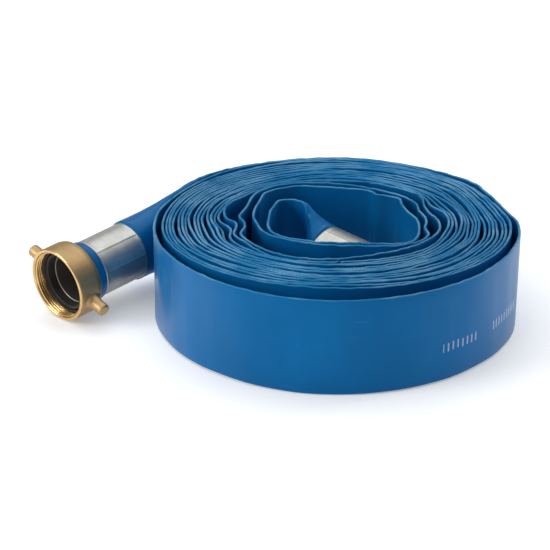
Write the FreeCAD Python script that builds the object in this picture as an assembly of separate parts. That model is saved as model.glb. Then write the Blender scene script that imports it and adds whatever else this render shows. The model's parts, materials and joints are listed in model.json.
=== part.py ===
"""Lay-flat discharge hose, wound flat on its edge, with a crimped coupling at each end.

Millimetres, +Z up.  The finished part stands on Z = 0 with its origin at the bottom
centre of its box.  While it is being made, the origin is the axis of the roll.

The hose is wound anticlockwise from the inside out, seen from above.  Its route is
followed here from the outer end inwards, so every turn runs clockwise.
"""
import FreeCAD
import Part
import math
import os
from FreeCAD import Matrix, Placement, Rotation, Vector

# --- hose ----------------------------------------------------------------------------
HOSE_FLAT_WIDTH = 85.0
HOSE_WALL = 1.525
TURN_GAP = 0.4                 # between one tight turn and the next
ROLL_RADIUS = 160.0            # to the outer face of the outermost turn
# The outermost turn is round.  The tight turns inside it stand off by these gaps.
STAND_OFF_RIGHT = 4.0
STAND_OFF_FRONT = 20.0
STAND_OFF_LEFT = 4.3
CORE_SHIFT = 3.0               # the tight turns' side arcs are centred this far to the back
TIGHT_END = 99.8               # the tight turns stop this far behind the roll axis
LOOSE_START = (88.6, 88.0)     # x and rounding radius of the first loose corner
# Corners of the loose turns after it: x, y and the radius that rounds the corner.
LOOSE_CORNERS = [
    (88.6, -75.0, 86.0), (-83.0, -75.0, 80.0), (-83.0, 90.0, 70.0),
    (77.0, 90.0, 66.0), (77.0, -50.8, 45.0), (-70.0, -50.8, 34.0), (-70.0, 84.0, 65.0),
    (71.5, 84.0, 60.0), (71.5, -47.0, 41.0), (-55.0, -47.0, 25.0), (-55.0, 51.5, 12.0),
    (-31.0, 51.5, 8.0),
]
INNER_END_ANGLE = -40.0        # plan direction of the inner coupling, from +X
INNER_END_REACH = 27.0         # last rounded corner to the start of the round hose
INNER_DROP_ANGLE = 6.5         # the inner coupling points this far downwards
INNER_MOUTH_HEIGHT = 40.5
LEAD_CLOSES_AT = 1.4           # half thickness below which the waterway is pressed shut
SHORTEST_RUN = 0.001           # a straight shorter than this, between two corners, is left out

# --- tail that leaves the roll ---------------------------------------------------------
TAIL_ANGLE = 45.4              # plan direction from the outer coupling to the roll, from +X
MOUTH_STAND_OFF = 27.86        # end of the outer ferrule, from the outer turn's middle line
TAIL_RISE_ANGLE = 5.0
FLOOR_CLEARANCE = 0.25         # under the swivel nut's rim

# --- couplings, 2 inch straight pipe thread ----------------------------------------------
SHANK_RADIUS = 23.6
SHANK_WALL = 1.6
SHANK_INSERTION = 44.0         # inside the hose, past the end ring
FERRULE_RADIUS = 26.5
FERRULE_WALL = 1.2
FERRULE_LENGTH = 48.0
FERRULE_DIES = 8               # crimping flats round the ferrule
FERRULE_FLAT_DEPTH = 0.45
END_RING_RADIUS = 27.2         # the hose's own cut end, swelled out past the ferrule
END_RING_LENGTH = 8.5
THREAD_PITCH = 25.4 / 11.5
THREAD_DEPTH = 1.15
THREAD_LAND = 0.55
FEMALE_THREAD_RADIUS = 28.85   # crests of the internal thread
MALE_THREAD_RADIUS = 29.8      # crests of the external thread

NUT_RADIUS = 33.5
NUT_LENGTH = 26.0
NUT_BACK_RADIUS = 29.5
NUT_THREAD_RIDGES = 4
NUT_THREAD_START = 1.6         # from the nut's face to the first crest
NUT_BACK_WALL = 3.5
LUG_RADIUS = 5.5
LUG_ROOT_RADIUS = 8.0
LUG_TIP_TO_TIP = 97.0
LUG_POSITION = 13.4            # from the nut's face
LUG_TILT = -18.5               # of the lugs' line from the horizontal
GASKET_THICKNESS = 9.0
FLANGE_THICKNESS = 3.5
SWIVEL_CLEARANCE = 0.3         # between the nut or its gasket and the shank
LIP_LENGTH = 0.9               # of the shank's tube through the gasket

MALE_COLLAR_RADIUS = 31.0
MALE_COLLAR_LENGTH = 5.5
MALE_FLAT_HALF_WIDTH = 29.0    # spanner flats on the collar
MALE_THREAD_LENGTH = 13.5
MALE_THREAD_RIDGES = 5

# --- values that follow ---------------------------------------------------------------
HOSE_THICKNESS = 2 * HOSE_WALL
TURN_PITCH = HOSE_THICKNESS + TURN_GAP
OUTER_TURN = ROLL_RADIUS - HOSE_WALL            # middle of the outermost turn
HOSE_PERIMETER = 2 * (HOSE_FLAT_WIDTH - HOSE_THICKNESS) + math.pi * HOSE_THICKNESS
SHANK_BORE_RADIUS = SHANK_RADIUS - SHANK_WALL
NUT_BORE_RADIUS = FEMALE_THREAD_RADIUS + THREAD_DEPTH
GASKET_FRONT = NUT_LENGTH - NUT_BACK_WALL - FLANGE_THICKNESS - GASKET_THICKNESS - 2 * SWIVEL_CLEARANCE
FLANGE_FRONT = GASKET_FRONT + GASKET_THICKNESS + SWIVEL_CLEARANCE
RING_START = NUT_LENGTH + 1.0
FERRULE_START = RING_START + END_RING_LENGTH
FERRULE_END = FERRULE_START + FERRULE_LENGTH
HOSE_END_RADIUS = FERRULE_RADIUS - FERRULE_WALL
# the first arc belongs to a half turn one pitch wider, so that it clears the next turn
FIRST_RADIUS = OUTER_TURN + TURN_PITCH / 2
# face of the swivel nut to where the hose meets the roll, along the roll's tangent
TAIL_LENGTH = FERRULE_END + math.sqrt((FIRST_RADIUS + MOUTH_STAND_OFF) ** 2 - FIRST_RADIUS ** 2)
MALE_SHOULDER = MALE_THREAD_LENGTH + MALE_COLLAR_LENGTH


def polar(radius, angle):
    """Point at a plan radius and an angle in degrees from +X."""
    return radius * math.cos(math.radians(angle)), radius * math.sin(math.radians(angle))


class BandRoute:
    """A plan line of straight runs and arcs, each tangent to the one before it."""

    def __init__(self, x, y, heading):
        self.x, self.y, self.heading = x, y, heading
        self.pieces = []
        self.length = 0.0

    def run(self, distance):
        if abs(distance) < SHORTEST_RUN:
            return
        dx, dy = polar(distance, self.heading)
        self.pieces.append((self.x, self.y, self.heading, distance, 0.0))
        self.x, self.y = self.x + dx, self.y + dy
        self.length += distance

    def bend(self, radius, turn):
        """An arc; a negative turn is clockwise."""
        side = math.copysign(90.0, turn)
        to_centre = polar(radius, self.heading + side)
        from_centre = polar(radius, self.heading + turn - side)
        self.pieces.append((self.x, self.y, self.heading, radius, turn))
        self.x += to_centre[0] + from_centre[0]
        self.y += to_centre[1] + from_centre[1]
        self.heading += turn
        self.length += abs(math.radians(turn)) * radius

    def through(self, corners, last_heading):
        """Straight runs from corner to corner, each corner rounded by its radius."""
        for index, (x, y, radius) in enumerate(corners):
            if index + 1 < len(corners):
                next_x, next_y = corners[index + 1][:2]
                leaving = math.degrees(math.atan2(next_y - y, next_x - x))
            else:
                leaving = last_heading
            turn = (leaving - self.heading + 180.0) % 360.0 - 180.0
            tangent = radius * math.tan(abs(math.radians(turn)) / 2)
            self.run(math.hypot(x - self.x, y - self.y) - tangent)
            self.bend(radius, turn)

    def side(self, offset):
        """The edges of the line that runs this far to the left of the route."""
        edges = []
        for x, y, heading, size, turn in self.pieces:
            start = Vector(x, y, 0) + Vector(*polar(offset, heading + 90), 0)
            if turn == 0:
                edges.append(Part.LineSegment(start, start + Vector(*polar(size, heading), 0)).toShape())
                continue
            side = math.copysign(90.0, turn)
            centre = Vector(x, y, 0) + Vector(*polar(size, heading + side), 0)
            radius = size - offset if turn > 0 else size + offset
            middle = centre + Vector(*polar(radius, heading + turn / 2 - side), 0)
            end = centre + Vector(*polar(radius, heading + turn - side), 0)
            edges.append(Part.Arc(start, middle, end).toShape())
        return edges

    def band(self, thickness, width):
        """The solid of a flat band that stands on edge along the route."""
        left, right = self.side(thickness / 2), self.side(-thickness / 2)
        start_cap = Part.LineSegment(left[0].valueAt(left[0].FirstParameter),
                                     right[0].valueAt(right[0].FirstParameter)).toShape()
        end_cap = Part.LineSegment(left[-1].valueAt(left[-1].LastParameter),
                                   right[-1].valueAt(right[-1].LastParameter)).toShape()
        outline = Part.Wire(Part.__sortEdges__(left + [end_cap] + right + [start_cap]))
        return Part.Face(outline).extrude(Vector(0, 0, width))


def revolve(profile):
    """Solid of revolution about X from a closed list of (x, radius) points."""
    points = [Vector(x, 0, radius) for x, radius in profile]
    face = Part.Face(Part.makePolygon(points + points[:1]))
    return face.revolve(Vector(0, 0, 0), Vector(1, 0, 0), 360)


def tube(start, end, outer, inner):
    """Straight tube along X."""
    return revolve([(start, inner), (end, inner), (end, outer), (start, outer)])


def thread_profile(start, crest, ridges, depth):
    """(x, radius) points of ridges one pitch apart; depth is signed, towards the root."""
    points = []
    for index in range(ridges):
        left = start + index * THREAD_PITCH
        flank = (THREAD_PITCH - 2 * THREAD_LAND) / 2
        points += [(left, crest), (left + THREAD_LAND, crest)]
        if index < ridges - 1:
            points += [(left + THREAD_LAND + flank, crest + depth),
                       (left + THREAD_PITCH - flank, crest + depth)]
    return points


def end_frame(origin, plan_angle, rise_angle):
    """Placement whose X runs along a coupling, from its open face into the hose."""
    turn = Rotation(Vector(0, 0, 1), plan_angle).multiply(Rotation(Vector(0, 1, 0), -rise_angle))
    return Placement(origin, turn)


# --- the route of the flat hose, from the outer end inwards --------------------------------
def roll_route():
    start_x, start_y = polar(FIRST_RADIUS, TAIL_ANGLE + 90)
    route = BandRoute(start_x, start_y - TURN_PITCH / 2, TAIL_ANGLE)
    route.bend(FIRST_RADIUS, -TAIL_ANGLE)
    route.bend(OUTER_TURN, -180)
    back = OUTER_TURN - TURN_PITCH
    route.bend((OUTER_TURN + back) / 2, -180)
    right = OUTER_TURN - HOSE_THICKNESS - STAND_OFF_RIGHT
    front = OUTER_TURN - HOSE_THICKNESS - STAND_OFF_FRONT
    left = OUTER_TURN - TURN_PITCH / 2 - HOSE_THICKNESS - STAND_OFF_LEFT
    corners = []
    for turn in range(int((back - TIGHT_END) / TURN_PITCH)):
        corners += [(right, back, min(right, back - CORE_SHIFT)),
                    (right, -front, min(right, front + CORE_SHIFT)),
                    (-left, -front, min(left, front + CORE_SHIFT)),
                    (-left, back - TURN_PITCH, min(left, back - TURN_PITCH - CORE_SHIFT))]
        right, back, front, left = (size - TURN_PITCH for size in (right, back, front, left))
    loose_x, loose_radius = LOOSE_START
    route.through(corners + [(loose_x, back, loose_radius)] + LOOSE_CORNERS, INNER_END_ANGLE)
    return route


# --- pieces of the couplings, along X from the open face -----------------------------------
def hose_end(ring_start, ferrule_start):
    """The hose's round end: the ring that shows, and the length under the ferrule."""
    ring = tube(ring_start, ferrule_start, END_RING_RADIUS, SHANK_RADIUS)
    sleeve = tube(ferrule_start, ferrule_start + FERRULE_LENGTH, HOSE_END_RADIUS, SHANK_RADIUS)
    return ring.fuse(sleeve).removeSplitter()


def ferrule(start):
    """Crimped sleeve: a tube with shallow flats from the crimping dies."""
    shell = tube(start, start + FERRULE_LENGTH, FERRULE_RADIUS, HOSE_END_RADIUS)
    block = Part.makeBox(FERRULE_LENGTH, FERRULE_RADIUS, FERRULE_RADIUS)
    block.translate(Vector(start, -FERRULE_RADIUS / 2, FERRULE_RADIUS - FERRULE_FLAT_DEPTH))
    for die in range(FERRULE_DIES):
        cutter = block.copy()
        cutter.rotate(Vector(0, 0, 0), Vector(1, 0, 0), (die + 0.5) * 360 / FERRULE_DIES)
        shell = shell.cut(cutter)
    return shell


def swivel_nut():
    """Cast nut with an internal thread, a back wall that holds the flange, and two pin lugs."""
    shoulder = NUT_LENGTH - NUT_BACK_WALL
    chamfer = NUT_THREAD_START - THREAD_LAND
    body = revolve([(0, 0), (0, NUT_RADIUS - 0.8), (0.8, NUT_RADIUS), (NUT_LENGTH - 6, NUT_RADIUS),
                    (NUT_LENGTH - 2, NUT_RADIUS - 1.2), (NUT_LENGTH, NUT_BACK_RADIUS), (NUT_LENGTH, 0)])
    half_span = LUG_TIP_TO_TIP / 2
    root_height = NUT_RADIUS + 6.5
    lug = revolve([(0, 0), (0, LUG_ROOT_RADIUS), (NUT_RADIUS - 1, LUG_ROOT_RADIUS),
                   (root_height, LUG_RADIUS), (half_span - 1.2, LUG_RADIUS),
                   (half_span, LUG_RADIUS - 1.2), (half_span, 0)])
    for side in (90, 270):
        arm = lug.copy()
        arm.rotate(Vector(0, 0, 0), Vector(0, 0, 1), side)
        arm.rotate(Vector(0, 0, 0), Vector(1, 0, 0), -LUG_TILT)
        arm.translate(Vector(LUG_POSITION, 0, 0))
        body = body.fuse(arm)
    thread = thread_profile(NUT_THREAD_START, FEMALE_THREAD_RADIUS, NUT_THREAD_RIDGES, THREAD_DEPTH)
    last = thread[-1][0]
    inside = [(-1, 0), (-1, NUT_BORE_RADIUS + chamfer), (0, NUT_BORE_RADIUS),
              (chamfer, NUT_BORE_RADIUS), *thread,
              (last + THREAD_LAND, NUT_BORE_RADIUS), (shoulder, NUT_BORE_RADIUS),
               (shoulder, SHANK_RADIUS + SWIVEL_CLEARANCE),
               (NUT_LENGTH + 1, SHANK_RADIUS + SWIVEL_CLEARANCE), (NUT_LENGTH + 1, 0)]
    return body.cut(revolve(inside))


def gasket():
    """Thick rubber washer with rounded-off corners, seated in the nut."""
    back = GASKET_FRONT + GASKET_THICKNESS
    outer, inner = NUT_BORE_RADIUS, SHANK_RADIUS + SWIVEL_CLEARANCE
    edge = 0.5
    return revolve([(GASKET_FRONT, inner + edge), (GASKET_FRONT + edge, inner), (back, inner),
                    (back, outer), (GASKET_FRONT + edge, outer), (GASKET_FRONT, outer - edge)])


def female_shank():
    """Tube that goes into the hose, with the flange that the nut pulls on."""
    lip = FLANGE_FRONT - SWIVEL_CLEARANCE - LIP_LENGTH
    flange_back = FLANGE_FRONT + FLANGE_THICKNESS
    flange = NUT_BORE_RADIUS - SWIVEL_CLEARANCE
    end = FERRULE_START + SHANK_INSERTION
    return revolve([(lip, SHANK_BORE_RADIUS), (lip, SHANK_RADIUS - 0.4), (lip + 0.4, SHANK_RADIUS),
                    (FLANGE_FRONT, SHANK_RADIUS), (FLANGE_FRONT, flange), (flange_back, flange),
                    (flange_back, SHANK_RADIUS), (end - 1, SHANK_RADIUS), (end, SHANK_RADIUS - 0.8),
                    (end, SHANK_BORE_RADIUS)])


def male_coupling():
    """Threaded end with a collar and spanner flats, in one piece with its shank."""
    thread = thread_profile(1.6, MALE_THREAD_RADIUS, MALE_THREAD_RIDGES, -THREAD_DEPTH)
    root = MALE_THREAD_RADIUS - THREAD_DEPTH
    last = thread[-1][0]
    end = MALE_SHOULDER + END_RING_LENGTH + SHANK_INSERTION
    profile = [(0, SHANK_BORE_RADIUS), (0, root - 0.6), (0.6, root)] + thread
    profile += [(last + THREAD_LAND, root), (MALE_THREAD_LENGTH, root),
                (MALE_THREAD_LENGTH, MALE_COLLAR_RADIUS - 0.6),
                (MALE_THREAD_LENGTH + 0.6, MALE_COLLAR_RADIUS),
                (MALE_SHOULDER - 0.6, MALE_COLLAR_RADIUS), (MALE_SHOULDER, MALE_COLLAR_RADIUS - 0.6),
                (MALE_SHOULDER, SHANK_RADIUS), (end, SHANK_RADIUS), (end, SHANK_BORE_RADIUS)]
    body = revolve(profile)
    for side in (1, -1):
        flat = Part.makeBox(MALE_COLLAR_LENGTH, 10, 80)
        low = MALE_FLAT_HALF_WIDTH if side > 0 else -MALE_FLAT_HALF_WIDTH - 10
        flat.translate(Vector(MALE_THREAD_LENGTH, low, -40))
        body = body.cut(flat)
    return body


def lead(mouth, meeting, heading, flatten):
    """Hose stretch that goes from round, at a ferrule's mouth, to flat, at the roll.

    mouth is the coupling's placement moved to the ferrule's mouth, meeting the middle of
    the flat band's end, and flatten the share of the way at which each section stands,
    with its half thickness.  The section keeps the hose's perimeter, and its middle
    follows a cubic that is tangent at both ends.
    """
    start, start_way = mouth.Base, mouth.Rotation.multVec(Vector(1, 0, 0))
    end_way = Vector(*polar(1, heading), 0)
    span = (meeting - start).Length
    outside, inside = [], []
    for share, half_thickness in flatten:
        t = share
        middle = (start * (1 - 3 * t * t + 2 * t ** 3) + start_way * (span * (t - 2 * t * t + t ** 3))
                  + meeting * (3 * t * t - 2 * t ** 3) + end_way * (span * (t ** 3 - t * t)))
        way = start_way * (1 - t) + end_way * t
        half_width = (HOSE_PERIMETER - 2 * math.pi * half_thickness) / 4 + half_thickness
        half_width = min(half_width, HOSE_FLAT_WIDTH / 2)
        if share == 0:
            half_width = half_thickness
        # major axis upright, plane square to the way the hose runs
        up = Vector(0, 0, 1) - way * (way.z / way.dot(way))
        up.normalize()
        way.normalize()
        side = way.cross(up)
        grid = Matrix(up.x, side.x, way.x, middle.x, up.y, side.y, way.y, middle.y,
                      up.z, side.z, way.z, middle.z, 0, 0, 0, 1)
        for wires, wall in ((outside, 0.0), (inside, HOSE_WALL)):
            if half_thickness > LEAD_CLOSES_AT + wall:
                ellipse = Part.Ellipse(Vector(0, 0, 0), half_width - wall, half_thickness - wall).toShape()
                ellipse.Placement = Placement(grid)
                wires.append(Part.Wire(ellipse))
    return Part.makeLoft(outside, True, False).cut(Part.makeLoft(inside, True, False))


# --- assembly ------------------------------------------------------------------------------
def build():
    route = roll_route()
    middle_height = HOSE_FLAT_WIDTH / 2

    tail_x, tail_y = route.pieces[0][:2]
    back_x, back_y = polar(TAIL_LENGTH, TAIL_ANGLE)
    rise = math.radians(TAIL_RISE_ANGLE)
    nut_height = NUT_RADIUS * math.cos(rise) + FLOOR_CLEARANCE
    outer = end_frame(Vector(tail_x - back_x, tail_y - back_y, nut_height), TAIL_ANGLE, TAIL_RISE_ANGLE)
    outer_mouth = outer.multiply(Placement(Vector(FERRULE_END, 0, 0), Rotation()))

    reach_x, reach_y = polar(INNER_END_REACH, INNER_END_ANGLE)
    inner_length = MALE_SHOULDER + END_RING_LENGTH + FERRULE_LENGTH
    along = Rotation(Vector(0, 0, 1), INNER_END_ANGLE + 180).multiply(
        Rotation(Vector(0, 1, 0), -INNER_DROP_ANGLE))
    inner_mouth = Vector(route.x + reach_x, route.y + reach_y, INNER_MOUTH_HEIGHT)
    inner = Placement(inner_mouth - along.multVec(Vector(inner_length, 0, 0)), along)

    flatten_long = [(0, HOSE_END_RADIUS), (0.12, 24.5), (0.35, 14.0), (0.62, 5.8), (0.85, 2.3),
                    (1, HOSE_WALL)]
    flatten_short = [(0, HOSE_END_RADIUS), (0.3, 22.5), (0.7, 10.0), (1, HOSE_WALL)]
    pieces = {
        "hose_roll": route.band(HOSE_THICKNESS, HOSE_FLAT_WIDTH),
        "hose_outer_lead": lead(outer_mouth, Vector(tail_x, tail_y, middle_height), TAIL_ANGLE,
                                flatten_long),
        "hose_inner_lead": lead(Placement(inner_mouth, along),
                                Vector(route.x, route.y, middle_height), INNER_END_ANGLE + 180,
                                flatten_short),
    }
    outer_pieces = {
        "hose_outer_end": hose_end(RING_START, FERRULE_START),
        "outer_ferrule": ferrule(FERRULE_START),
        "female_shank": female_shank(),
        "swivel_nut": swivel_nut(),
        "gasket": gasket(),
    }
    inner_pieces = {
        "hose_inner_end": hose_end(MALE_SHOULDER, MALE_SHOULDER + END_RING_LENGTH),
        "inner_ferrule": ferrule(MALE_SHOULDER + END_RING_LENGTH),
        "male_coupling": male_coupling(),
    }
    for frame, group in ((outer, outer_pieces), (inner, inner_pieces)):
        for name, shape in group.items():
            shape.Placement = frame
            pieces[name] = shape
    return pieces, route, outer, inner


def main():
    pieces, route, outer, inner = build()
    box = FreeCAD.BoundBox()
    for shape in pieces.values():
        box.add(shape.optimalBoundingBox())
    shift = Vector(-(box.XMin + box.XMax) / 2, -(box.YMin + box.YMax) / 2, -box.ZMin)
    os.makedirs("parts", exist_ok=True)
    for name, shape in pieces.items():
        shape.translate(shift)
        if not shape.isValid() or len(shape.Solids) != 1:
            raise RuntimeError(f"{name} is not one valid solid")
        shape.exportStep(f"parts/{name}.step")
    tail = TAIL_LENGTH - RING_START
    end = INNER_END_REACH + FERRULE_LENGTH + END_RING_LENGTH
    print(f"hose length {route.length + tail + end:.0f} mm, in the roll {route.length:.0f} mm")
    print("roll axis", tuple(round(v, 3) for v in shift))
    for label, frame in (("outer", outer), ("inner", inner)):
        way = frame.Rotation.multVec(Vector(1, 0, 0))
        print(label, "face", tuple(round(v, 4) for v in frame.Base + shift),
              "into the hose", tuple(round(v, 6) for v in way))
    print("size", [round(v, 2) for v in (box.XLength, box.YLength, box.ZLength)])


main()
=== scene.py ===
"""Rolled lay-flat hose with a swivel coupling outside and a threaded one in its eye.

Sizes are worked out in millimetres round the roll's axis and put into the meshes in
metres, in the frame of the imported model.
"""
import json
import math

import bpy
import numpy as np
from mathutils import Matrix, Vector


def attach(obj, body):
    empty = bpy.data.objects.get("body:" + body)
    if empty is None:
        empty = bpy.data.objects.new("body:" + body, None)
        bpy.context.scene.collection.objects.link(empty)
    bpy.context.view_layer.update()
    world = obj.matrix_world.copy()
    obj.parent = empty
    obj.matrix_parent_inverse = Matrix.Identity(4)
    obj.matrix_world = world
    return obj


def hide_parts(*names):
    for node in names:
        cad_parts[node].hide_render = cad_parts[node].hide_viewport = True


bl_info = {
    "name": "Rolled lay-flat hose",
    "version": (1, 0, 0),
    "blender": (4, 5, 0),
    "location": "3D View > Sidebar > Hose",
    "description": "Builds a rolled lay-flat hose and its couplings round the packed frame",
    "category": "Object",
}

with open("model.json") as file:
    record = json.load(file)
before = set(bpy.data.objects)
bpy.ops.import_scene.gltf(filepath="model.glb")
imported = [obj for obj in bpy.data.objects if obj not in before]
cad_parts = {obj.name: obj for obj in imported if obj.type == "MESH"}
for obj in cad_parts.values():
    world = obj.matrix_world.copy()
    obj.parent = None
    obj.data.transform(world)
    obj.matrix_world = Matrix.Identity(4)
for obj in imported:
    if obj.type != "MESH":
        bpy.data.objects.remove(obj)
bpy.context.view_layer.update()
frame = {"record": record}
MM = 0.001
TAU = 2 * math.pi
THREAD_PITCH = 25.4 / 11.5
SHANK_INSERTION = 44            # of either shank into the hose, past its end ring, in mm
FERRULE_WALL = 1.2
NUT_BACK_WALL = 3.5             # holds the shank's flange in the nut
NUT_THREAD_END = 8.9            # from the nut's face
LUG_POSITION = 13.4             # from the nut's face
SWIVEL_CLEARANCE = 0.3
MALE_COLLAR_RADIUS = 31.0
MALE_FLAT_HALF_WIDTH = 29.0     # spanner flats on the collar


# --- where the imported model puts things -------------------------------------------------
def mount(name):
    """Position in mm and outward axis of one of the record's mounts."""
    found = next(m for m in frame["record"]["mounts"] if m["name"] == name)
    return np.array(found["pos_m"]) / MM, np.array(found["axis"], float)


def axes_along(way):
    """Rows: along the coupling, level to its left, and upwards square to both."""
    way = way / np.linalg.norm(way)
    left = np.cross((0.0, 0.0, 1.0), way)
    left /= np.linalg.norm(left)
    return np.array([way, left, np.cross(way, left)])


ROLL_AXIS = mount("roll_eye")[0]
SPIN = frame["record"]["behaviour"]["joints"][0]
OUTER_FACE = np.array(SPIN["pos_m"]) / MM
OUTER_AXES = axes_along(np.array(SPIN["axis"], float))
MALE_THREAD_MIDDLE = 6.2925         # behind the inner coupling's face
INNER_AXES = axes_along(-mount("male_thread")[1])
INNER_FACE = mount("male_thread")[0] - MALE_THREAD_MIDDLE * INNER_AXES[0]


# --- sizes and colours that a user would change -----------------------------------------
def size(name, words, value, low=0.0, high=1000.0):
    """A size in mm: a plain number, because Blender's own lengths are in metres."""
    return bpy.props.FloatProperty(name=name, description=words, default=value, min=low, max=high,
                                   precision=3)


def colour(name, words, value):
    return bpy.props.FloatVectorProperty(name=name, description=words, default=value, size=3,
                                         min=0.0, max=1.0, subtype="COLOR")


class HoseSizes(bpy.types.PropertyGroup):
    flat_width: size("Flat width", "Width of the hose when it lies flat, in mm", 84.2)
    fold_thickness: size("Fold thickness", "Thickness of the flat hose at its folded edges, in mm", 2.35)
    middle_thickness: size("Middle thickness", "Thickness between the folded edges, in mm", 2.0)
    turn_pitch: size("Turn pitch", "From one tight turn to the next, in mm", 3.45)
    tight_turns: bpy.props.IntProperty(
        name="Tight turns", description="Neat turns inside the outermost one", default=16, min=1, max=20)
    lift: size("Lift", "How far a turn's edge may stand above its neighbours', in mm", 1.9)
    kink_sharpness: bpy.props.FloatProperty(
        name="Kink sharpness", description="How sharply the loose turns bend", default=0.62, min=0.0, max=0.9)
    end_ring_radius: size("End ring radius", "Swollen cut end between the coupling and the ferrule, in mm", 27.2)
    end_radius: size("End radius", "Outside of the hose under the ferrule, in mm", 25.3)
    bore_radius: size("Bore radius", "Inside of the hose on the shank, in mm", 23.6)
    seed: bpy.props.IntProperty(name="Seed", description="Start of the random gaps and wrinkles", default=7)


class CouplingSizes(bpy.types.PropertyGroup):
    ferrule_radius: size("Ferrule radius", "Outside of the crimped sleeve, in mm", 26.5)
    ferrule_length: size("Ferrule length", "Length of the crimped sleeve, in mm", 48.0)
    ferrule_dies: bpy.props.IntProperty(name="Dies", description="Flats left by the crimping dies", default=8)
    end_ring: size("End ring", "Length of the hose's cut end between coupling and ferrule, in mm", 8.5)
    shoulder: size("Shoulder", "Length of the inner coupling outside the hose, in mm", 19.0)
    shank_radius: size("Shank radius", "Outside of the tube inside the hose, in mm", 23.6)
    shank_bore: size("Shank bore", "Radius of the waterway, in mm", 22.0)
    nut_radius: size("Nut radius", "Outside of the swivel nut, in mm", 33.5)
    nut_length: size("Nut length", "Length of the swivel nut, in mm", 26.0)
    female_radius: size("Female thread", "Crests of the nut's thread, radius in mm", 28.85)
    male_radius: size("Male thread", "Crests of the outside thread, radius in mm", 29.8)
    thread_depth: size("Thread depth", "From crest to root, in mm", 1.15)
    lug_radius: size("Lug radius", "Radius of the two pin lugs, in mm", 5.5)
    lug_span: size("Lug span", "From tip to tip of the lugs, in mm", 97.0)
    lug_tilt: bpy.props.FloatProperty(name="Lug tilt", description="Turn of the lugs about the coupling",
                                      default=math.radians(-18.5), subtype="ANGLE")


class Finishes(bpy.types.PropertyGroup):
    hose: colour("Hose", "Blue of the hose", (0.0012, 0.108, 0.305))
    # Paler fold crests: partly stress whitening, partly a painted highlight where the crests catch the light.
    hose_fold: colour("Hose folds", "Paler blue of the folded edges", (0.03, 0.27, 0.50))
    # Painted highlight: paler patches on the fold crests, where they glint.
    hose_fold_glint: colour("Fold glints", "Chalky blue where the folded edges are rubbed", (0.17, 0.43, 0.62))
    brass: colour("Brass", "Tumbled brass of the nut", (0.47, 0.325, 0.165))
    cut_brass: colour("Cut brass", "Bright brass of the thread", (0.72, 0.47, 0.2))
    zinc: colour("Zinc", "Zinc plating of the ferrules", (0.52, 0.52, 0.495))
    steel: colour("Steel", "Turned steel of the shanks", (0.38, 0.35, 0.32))
    rubber: colour("Rubber", "Rubber of the gasket", (0.022, 0.019, 0.017))
    floor: colour("Floor", "Pale floor", (0.92, 0.93, 0.94))


def sizes():
    """The hose's and the couplings' sizes, from the scene."""
    return bpy.context.scene.hose_sizes, bpy.context.scene.coupling_sizes


# --- meshes -----------------------------------------------------------------------------
def surface(points, wrap_rows=False):
    """Vertices and quads of a grid whose columns, and perhaps rows, close on themselves."""
    rows, columns = points.shape[:2]
    i, j = np.meshgrid(np.arange(rows if wrap_rows else rows - 1),
                       np.arange(columns), indexing="ij")
    i, j = i.ravel(), j.ravel()
    k, l = (i + 1) % rows, (j + 1) % columns
    quads = np.stack([i * columns + j, i * columns + l, k * columns + l, k * columns + j], 1)
    return points.reshape(-1, 3), quads


def put(name, shells, body, materials, uv=None, values=None, face_material=None):
    """One mesh object from closed shells of (vertices in mm, quads).

    Each shell is turned outwards by the sign of its volume, the sum of p0 . (p1 x p2) over
    its triangles. A quad whose corners repeat a vertex becomes a triangle.
    """
    all_vertices, all_faces, start = [], [], 0
    for vertices, quads in shells:
        a, b, c, d = (vertices[quads[:, n]] for n in range(4))
        volume = np.einsum("ij,ij->", a, np.cross(b, c)) + np.einsum("ij,ij->", a, np.cross(c, d))
        if volume < 0:
            quads = quads[:, ::-1]
        all_vertices.append(vertices)
        all_faces.append(quads + start)
        start += len(vertices)
    vertices, quads = np.concatenate(all_vertices), np.concatenate(all_faces)
    mesh = bpy.data.meshes.new(name)
    mesh.vertices.add(len(vertices))
    mesh.vertices.foreach_set("co", (vertices * MM).ravel())
    repeats = quads == np.roll(quads, -1, 1)
    keep = ~repeats
    counts = keep.sum(1)
    mesh.loops.add(int(counts.sum()))
    mesh.loops.foreach_set("vertex_index", quads[keep].astype(np.int32))
    mesh.polygons.add(len(quads))
    mesh.polygons.foreach_set("loop_start", (np.cumsum(counts) - counts).astype(np.int32))
    mesh.polygons.foreach_set("use_smooth", np.ones(len(quads), bool))
    if face_material is not None:
        mesh.polygons.foreach_set("material_index", face_material.astype(np.int32))
    if uv is not None:
        layer = mesh.uv_layers.new(name="UVMap")
        layer.data.foreach_set("uv", uv(quads)[keep].astype(np.float32).ravel())
    for label, numbers in (values or {}).items():
        attribute = mesh.attributes.new(label, "FLOAT", "POINT")
        attribute.data.foreach_set("value", numbers.astype(np.float32).ravel())
    for material in materials:
        mesh.materials.append(material)
    mesh.update(calc_edges=True)
    if mesh.validate():
        raise RuntimeError(f"{name} has faulty faces")
    piece = bpy.data.objects.new(name, mesh)
    bpy.context.collection.objects.link(piece)
    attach(piece, body)
    return piece


def turned(profile, steps, axes, origin, radius_change=None):
    """Solid of revolution: the closed profile of (along, radius) goes round the axis.

    A point is origin + along * axis + radius * (cos a * left + sin a * up), and
    radius_change(along, radius, a) is added to the radius.
    """
    profile = np.asarray(profile, float)
    along, a = np.meshgrid(profile[:, 0], np.arange(steps) * TAU / steps, indexing="ij")
    radius = np.repeat(profile[:, 1:2], steps, 1)
    if radius_change is not None:
        radius = radius + radius_change(along, radius, a)
    local = np.stack([along, radius * np.cos(a), radius * np.sin(a)], -1)
    return surface(local @ axes + origin, wrap_rows=True)


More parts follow.
